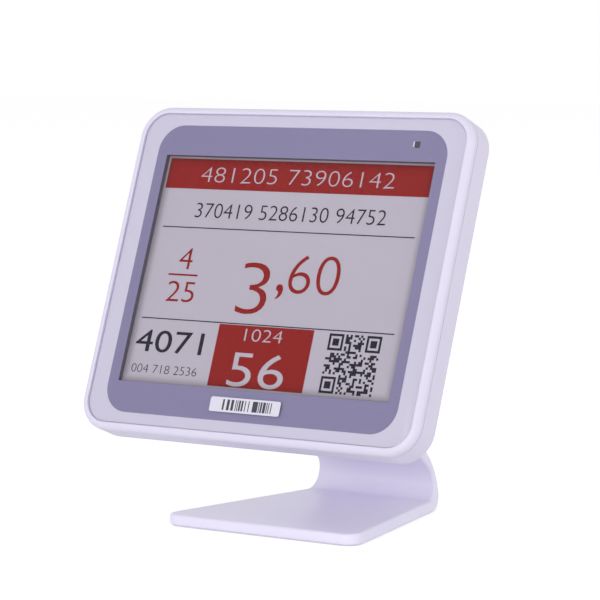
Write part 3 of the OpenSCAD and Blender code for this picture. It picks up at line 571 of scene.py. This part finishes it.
sticker = {"corner": 0.55, "steps": 6}
bars = {"count": 64, "width": 17.4, "height": 2.9, "ink": 0.015, "share": 0.5, "seed": 5}
low, high = labelBox("barcode_sticker")
piece = startBlock("sticker", low, high)
roundCorners(piece, sticker["corner"], sticker["steps"])
settle(piece, "label", stickerPaper, "barcode_sticker")
freshStart()
bpy.ops.mesh.primitive_grid_add(x_subdivisions=bars["count"], y_subdivisions=1, size=1)
piece = bpy.context.object
piece.name = "sticker_bars"
piece.scale = (bars["width"] * mm, bars["height"] * mm, 1)
piece.location = [(a + b) / 2 * mm for a, b in zip(low.xy, high.xy)] + [(high.z - bars["ink"]) * mm]
bpy.ops.object.transform_apply(location=True, rotation=True, scale=True)
chance = random.Random(bars["seed"])
kept = [chance.random() < bars["share"] for number in range(bars["count"])]
raiseCells(lambda f: kept[int((middle(f).x / bars["width"] + 0.5) * bars["count"])], 2 * bars["ink"])
settle(piece, "label", stickerInk)
print("sticker made")


# Camera, floor and light

cameraView = {"place": (0.40924, -0.63594, 0.13349), "down": 5.48, "round": 33.09, "lens": 167.1,
              "sensor": 36}
bpy.ops.object.select_all(action="DESELECT")
bpy.ops.object.camera_add(location=cameraView["place"], rotation=(
    math.radians(90 - cameraView["down"]), 0, math.radians(cameraView["round"])))
camera = bpy.context.object
camera.data.lens = cameraView["lens"]
camera.data.sensor_width = cameraView["sensor"]
bpy.context.scene.camera = camera


def anyStraightRay(tree):  # 1 for what the camera sees directly, in a reflection or through something
    ray = addNode(tree, "ShaderNodeLightPath").outputs
    two = addNode(tree, "ShaderNodeMath", {0: ray["Is Camera Ray"], 1: ray["Is Glossy Ray"]},
                  operation="MAXIMUM")
    three = addNode(tree, "ShaderNodeMath", {0: two.outputs[0], 1: ray["Is Transmission Ray"]},
                    operation="MAXIMUM")
    return three.outputs[0]


# Pale paper that is lifted to white where it is looked at, and keeps the shadow
floorLook = {"size": 8, "colour": "#f4f4f6", "lift": 0.4}
bpy.ops.mesh.primitive_plane_add(size=floorLook["size"], location=(0, 0, 0))
floor = bpy.context.object
floor.name = "floor"
floorPaper, tree = newMaterial("floor_paper")
matte = addNode(tree, "ShaderNodeBsdfDiffuse", {"Color": colour(floorLook["colour"])})
lift = addNode(tree, "ShaderNodeEmission", {"Strength": floorLook["lift"]})
both = addNode(tree, "ShaderNodeAddShader", {0: matte.outputs["BSDF"], 1: lift.outputs["Emission"]})
seen = addNode(tree, "ShaderNodeMixShader", {0: anyStraightRay(tree), 1: matte.outputs["BSDF"],
                                             2: both.outputs["Shader"]})
output(tree, seen.outputs["Shader"])
floor.data.materials.append(floorPaper)

world = bpy.data.worlds.new("studio")
bpy.context.scene.world = world
world.use_nodes = True
world.node_tree.nodes.clear()
skyLook = {"low": 0.95, "high": 0.5}  # light from the horizon and from overhead
tree = world.node_tree
up = addNode(tree, "ShaderNodeSeparateXYZ", {0: addNode(tree, "ShaderNodeTexCoord").outputs["Generated"]})
level = addNode(tree, "ShaderNodeMapRange", {"Value": up.outputs["Z"], "To Min": skyLook["low"],
                                             "To Max": skyLook["high"]})
fill = addNode(tree, "ShaderNodeBackground", {"Color": colour("#ffffff"),
                                              "Strength": level.outputs["Result"]})
white = addNode(tree, "ShaderNodeBackground", {"Color": colour("#ffffff"), "Strength": 1.0})
sky = addNode(tree, "ShaderNodeMixShader", {0: anyStraightRay(tree), 1: fill.outputs["Background"],
                                            2: white.outputs["Background"]})
addNode(tree, "ShaderNodeOutputWorld", {"Surface": sky.outputs["Shader"]})

aim = Vector((0, 0, 0.06))
lamps = [
    {"name": "low_front", "at": (0.1, -1.4, 0.2), "size": 0.8, "power": 9.5},
    {"name": "key", "at": (-0.9, -1.3, 1.5), "size": 1.2, "power": 1.5},
    {"name": "side", "at": (1.5, 0.1, 0.6), "size": 1.2, "power": 5},
]
for lamp in lamps:
    bpy.ops.object.light_add(type="AREA", location=lamp["at"])
    light = bpy.context.object
    light.name = lamp["name"]
    light.data.size = lamp["size"]
    light.data.energy = lamp["power"]
    light.rotation_euler = (aim - Vector(lamp["at"])).to_track_quat("-Z", "Y").to_euler()

bpy.context.scene.view_settings.view_transform = "Standard"
